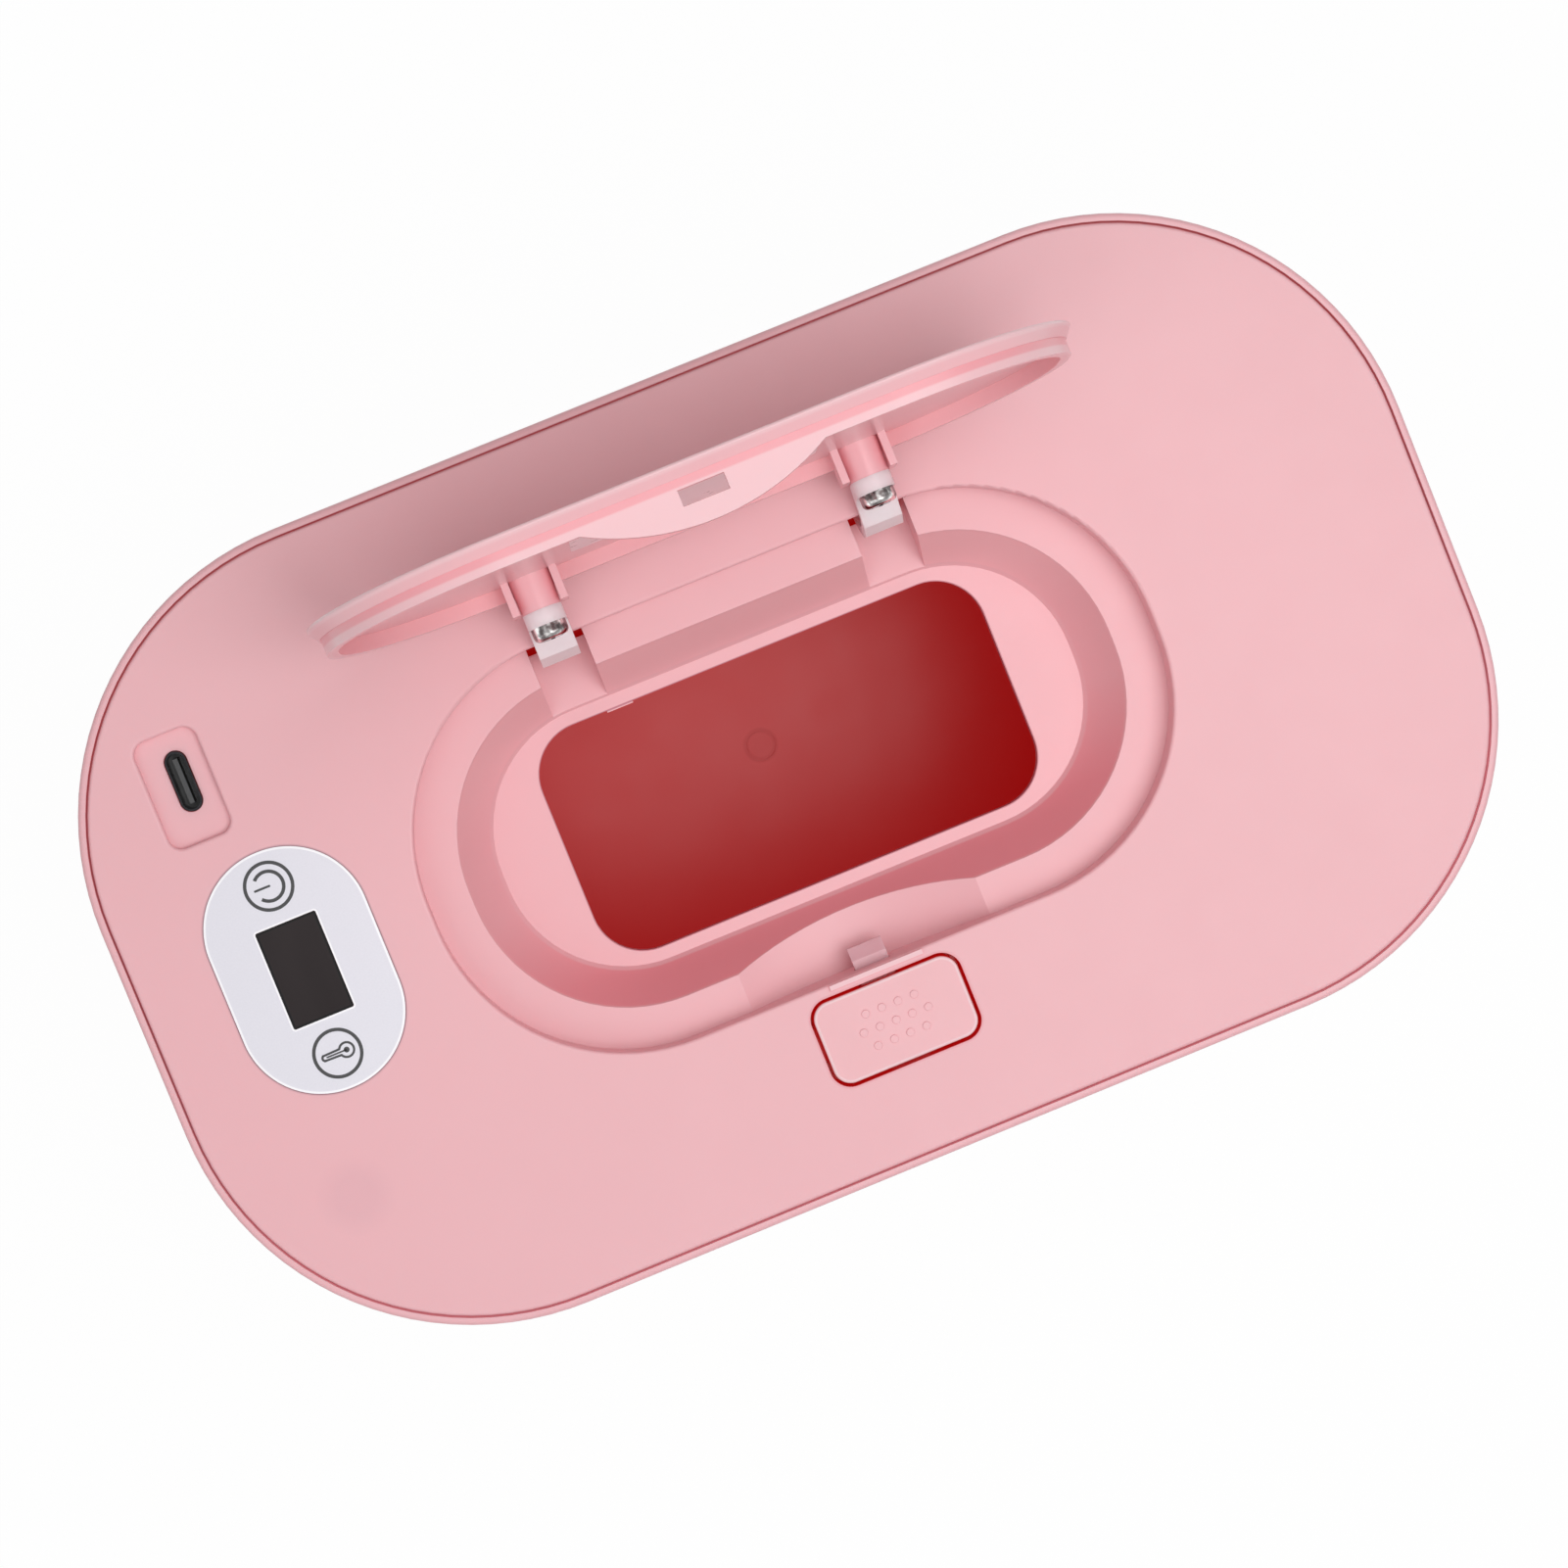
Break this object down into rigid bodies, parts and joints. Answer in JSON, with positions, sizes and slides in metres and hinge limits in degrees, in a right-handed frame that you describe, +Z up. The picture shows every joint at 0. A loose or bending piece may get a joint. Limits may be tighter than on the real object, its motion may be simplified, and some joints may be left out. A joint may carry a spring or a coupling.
{
  "type": "baby wipe warmer",
  "caption": "Oval wipe-warming box with a lift-off heated cover, a sprung flip lid over the dispensing opening, a push-button latch, a touch panel with display and a low-voltage inlet.",
  "frame": {"origin": "middle of the surface the feet stand on", "axes": "+Z up, +X along the length away from the touch panel, +Y towards the lid's hinge"},
  "size_m": [0.2, 0.1192, 0.1515],
  "materials": {
    "shell_pink": "satin moulded polypropylene",
    "lid_pink": "semi-gloss moulded polypropylene",
    "milky_plastic": "natural translucent acetal",
    "label_silver": "printed silver-grey film",
    "display_black": "smoked window",
    "steel": "bright plated steel",
    "spring_steel": "plain spring wire",
    "port_black": "black moulded insulator",
    "port_shell": "dark plated shell",
    "soft_rubber": "silicone",
    "foot_rubber": "soft non-slip rubber",
    "heater_metal": "plain sheet",
    "heater_film": "amber polyimide film",
    "foam": "heat-resistant felt",
    "circuit_green": "glass-epoxy board",
    "component_black": "moulded components",
    "connector_white": "nylon",
    "wire_red": "silicone insulated wire",
    "wire_white": "silicone insulated wire",
    "fuse_white": "ceramic-bodied thermal fuse",
    "sticker_white": "blank clear-coated label"
  },
  "bodies": {
    "tub": {"tub": "shell_pink", "tub_feet": "foot_rubber"},
    "cover": {"cover_panel": "shell_pink", "cover_tray": "shell_pink", "cover_seal": "soft_rubber", "cover_screws": "steel", "heating_plate": "heater_metal", "heating_film": "heater_film", "insulation_pad": "foam", "temperature_sensor": "component_black", "thermal_fuse": "fuse_white", "heater_wires": "wire_red", "sensor_wires": "wire_white", "wire_connectors": "connector_white", "control_board": "circuit_green", "board_screws": "steel", "board_chips": "component_black", "display_module": "component_black", "display_window": "display_black", "control_label": "label_silver", "touch_springs": "spring_steel", "usb_shell": "port_shell", "usb_tongue": "port_black", "button_springs": "spring_steel", "latch_spring": "spring_steel", "latch_guide": "milky_plastic", "guide_screws": "steel", "hinge_pins": "steel", "hinge_springs": "spring_steel"},
    "lid": {"lid": "lid_pink", "lid_sticker": "sticker_white", "hinge_arm_left": "milky_plastic", "hinge_arm_right": "milky_plastic", "hinge_screws": "steel"},
    "button": {"release_button": "shell_pink"},
    "latch": {"latch_bolt": "milky_plastic"}
  },
  "joints": [
    {"name": "cover_lift", "type": "slide", "parent": "tub", "child": "cover", "axis": [0, 0, 1], "range_m": [0, 0.03]},
    {"name": "lid_hinge", "type": "hinge", "parent": "cover", "child": "lid", "pos_m": [0, 0.0366, 0.0856], "axis": [1, 0, 0], "range_deg": [0, 95], "stiffness_Nm_per_rad": 0.01, "springref_deg": -28.65, "deforming": ["hinge_springs"]},
    {"name": "button_press", "type": "slide", "parent": "cover", "child": "button", "axis": [0, 0, -1], "range_m": [0, 0.002], "stiffness_N_per_m": 800, "springref_m": -0.002, "deforming": ["button_springs"]},
    {"name": "latch_slide", "type": "slide", "parent": "cover", "child": "latch", "axis": [0, -1, 0], "range_m": [0, 0.0031], "deforming": ["latch_spring"]}
  ],
  "couplings": [
    {"joint": "latch_slide", "follows": "button_press", "ratio": 1.5}
  ]
}
